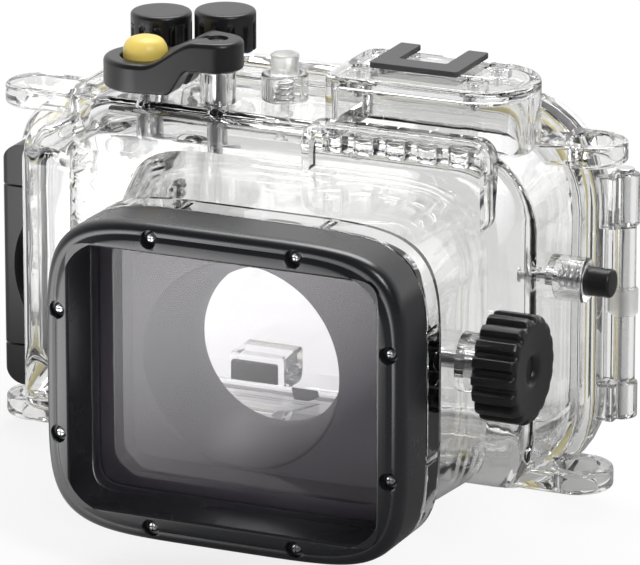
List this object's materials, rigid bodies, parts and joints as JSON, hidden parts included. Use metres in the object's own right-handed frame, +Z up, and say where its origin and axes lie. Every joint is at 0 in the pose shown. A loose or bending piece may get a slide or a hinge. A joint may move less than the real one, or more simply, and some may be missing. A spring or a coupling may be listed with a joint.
{
  "type": "underwater camera housing",
  "caption": "Clear plastic dive housing for a compact camera: black framed port, hinged rear door with latch, dials, zoom lever, keys and strap lugs.",
  "frame": {"origin": "middle of the flat foot that the housing rests on", "axes": "+Z up, -Y towards the port's front, +X to the right seen from the front"},
  "size_m": [0.1479, 0.1123, 0.0973],
  "materials": {
    "clear_plastic": "clear gloss",
    "frosted_plastic": "frosted clear",
    "black_plastic": "satin",
    "shade_plastic": "matt",
    "coated_glass": "coated",
    "yellow_plastic": "satin",
    "grey_plastic": "satin",
    "steel": "bright",
    "black_rubber": "matt",
    "seal_rubber": "satin"
  },
  "bodies": {
    "housing": {"front_shell": "clear_plastic", "port_bezel": "black_plastic", "port_window": "coated_glass", "window_seal": "black_rubber", "lens_shade": "shade_plastic", "bezel_screw_1": "steel", "bezel_screw_2": "steel", "bezel_screw_3": "steel", "bezel_screw_4": "steel", "bezel_screw_5": "steel", "bezel_screw_6": "steel", "bezel_screw_7": "steel", "bezel_screw_8": "steel", "block_screw_1": "steel", "block_screw_2": "steel", "block_screw_3": "steel", "block_screw_4": "steel", "shoe_plate": "grey_plastic", "hinge_pin": "steel", "power_spring": "steel", "side_spring": "steel", "floor_pad": "black_rubber", "zoom_bush": "clear_plastic", "exposure_bush": "clear_plastic", "power_bush": "clear_plastic"},
    "cover": {"rear_cover": "clear_plastic", "main_seal": "seal_rubber", "latch_pin": "steel", "back_pad": "black_rubber"},
    "latch": {"latch_lever": "black_plastic", "link_pin": "steel"},
    "claw": {"latch_link": "black_plastic"},
    "zoom": {"zoom_lever": "black_plastic", "zoom_shaft": "steel", "zoom_screw": "steel"},
    "shutter": {"shutter_button": "yellow_plastic"},
    "plunger": {"shutter_plunger": "steel"},
    "mode": {"mode_dial": "black_plastic", "mode_shaft": "steel"},
    "exposure": {"exposure_dial": "black_plastic", "exposure_shaft": "steel"},
    "power": {"power_button": "frosted_plastic"},
    "side": {"side_button": "black_plastic", "side_stem": "steel"},
    "ring": {"ring_knob": "black_plastic", "ring_shaft": "steel", "ring_wheel": "black_rubber"},
    "rear_dial": {"rear_wheel": "black_plastic", "rear_wheel_shaft": "steel"},
    "pad_up_key": {"pad_up_button": "black_plastic"},
    "pad_down_key": {"pad_down_button": "black_plastic"},
    "pad_left_key": {"pad_left_button": "black_plastic"},
    "pad_right_key": {"pad_right_button": "black_plastic"},
    "set_key": {"set_button": "black_plastic"},
    "movie_key": {"movie_button": "black_plastic"},
    "playback_key": {"playback_button": "black_plastic"},
    "menu_key": {"menu_button": "black_plastic"}
  },
  "joints": [
    {"name": "cover_hinge", "type": "hinge", "parent": "housing", "child": "cover", "pos_m": [0.055, 0.022, 0.045], "axis": [0, 0, -1], "range_deg": [0, 120]},
    {"name": "latch_hinge", "type": "hinge", "parent": "cover", "child": "latch", "pos_m": [-0.0846, 0.0304, 0.035], "axis": [0, 0, -1], "range_deg": [0, 100]},
    {"name": "claw_hinge", "type": "hinge", "parent": "latch", "child": "claw", "pos_m": [-0.0836, 0.022, 0.035], "axis": [0, 0, -1], "range_deg": [0, 10]},
    {"name": "zoom_turn", "type": "hinge", "parent": "housing", "child": "zoom", "pos_m": [-0.0266, -0.002, 0.09], "axis": [0, 0, 1], "range_deg": [-5, 5], "stiffness_Nm_per_rad": 0.05},
    {"name": "shutter_press", "type": "slide", "parent": "zoom", "child": "shutter", "axis": [0, 0, -1], "range_m": [0, 0.002], "stiffness_N_per_m": 300, "springref_m": -0.001},
    {"name": "plunger_press", "type": "slide", "parent": "housing", "child": "plunger", "axis": [0, 0, -1], "range_m": [0, 0.002], "stiffness_N_per_m": 300, "springref_m": -0.001},
    {"name": "mode_turn", "type": "hinge", "parent": "housing", "child": "mode", "pos_m": [-0.0482, 0.016, 0.09], "axis": [0, 0, 1], "continuous": true},
    {"name": "exposure_turn", "type": "hinge", "parent": "housing", "child": "exposure", "pos_m": [-0.0332, 0.0158, 0.09], "axis": [0, 0, 1], "continuous": true},
    {"name": "power_press", "type": "slide", "parent": "housing", "child": "power", "axis": [0, 0, -1], "range_m": [0, 0.0015], "stiffness_N_per_m": 300, "springref_m": -0.001, "deforming": ["power_spring"]},
    {"name": "side_press", "type": "slide", "parent": "housing", "child": "side", "axis": [-1, 0, 0], "range_m": [0, 0.0015], "stiffness_N_per_m": 300, "springref_m": -0.001, "deforming": ["side_spring"]},
    {"name": "ring_turn", "type": "hinge", "parent": "housing", "child": "ring", "pos_m": [0.05, -0.028, 0.0425], "axis": [1, 0, 0], "continuous": true},
    {"name": "rear_dial_turn", "type": "hinge", "parent": "cover", "child": "rear_dial", "pos_m": [-0.066, 0.04, 0.06], "axis": [0, 1, 0], "continuous": true},
    {"name": "pad_up_key_press", "type": "slide", "parent": "cover", "child": "pad_up_key", "axis": [0, -1, 0], "range_m": [0, 0.0015], "stiffness_N_per_m": 300, "springref_m": -0.001},
    {"name": "pad_down_key_press", "type": "slide", "parent": "cover", "child": "pad_down_key", "axis": [0, -1, 0], "range_m": [0, 0.0015], "stiffness_N_per_m": 300, "springref_m": -0.001},
    {"name": "pad_left_key_press", "type": "slide", "parent": "cover", "child": "pad_left_key", "axis": [0, -1, 0], "range_m": [0, 0.0015], "stiffness_N_per_m": 300, "springref_m": -0.001},
    {"name": "pad_right_key_press", "type": "slide", "parent": "cover", "child": "pad_right_key", "axis": [0, -1, 0], "range_m": [0, 0.0015], "stiffness_N_per_m": 300, "springref_m": -0.001},
    {"name": "set_key_press", "type": "slide", "parent": "cover", "child": "set_key", "axis": [0, -1, 0], "range_m": [0, 0.0015], "stiffness_N_per_m": 300, "springref_m": -0.001},
    {"name": "movie_key_press", "type": "slide", "parent": "cover", "child": "movie_key", "axis": [0, -1, 0], "range_m": [0, 0.0015], "stiffness_N_per_m": 300, "springref_m": -0.001},
    {"name": "playback_key_press", "type": "slide", "parent": "cover", "child": "playback_key", "axis": [0, -1, 0], "range_m": [0, 0.0015], "stiffness_N_per_m": 300, "springref_m": -0.001},
    {"name": "menu_key_press", "type": "slide", "parent": "cover", "child": "menu_key", "axis": [0, -1, 0], "range_m": [0, 0.0015], "stiffness_N_per_m": 300, "springref_m": -0.001}
  ],
  "couplings": [
    {"joint": "plunger_press", "follows": "shutter_press", "ratio": 1}
  ]
}
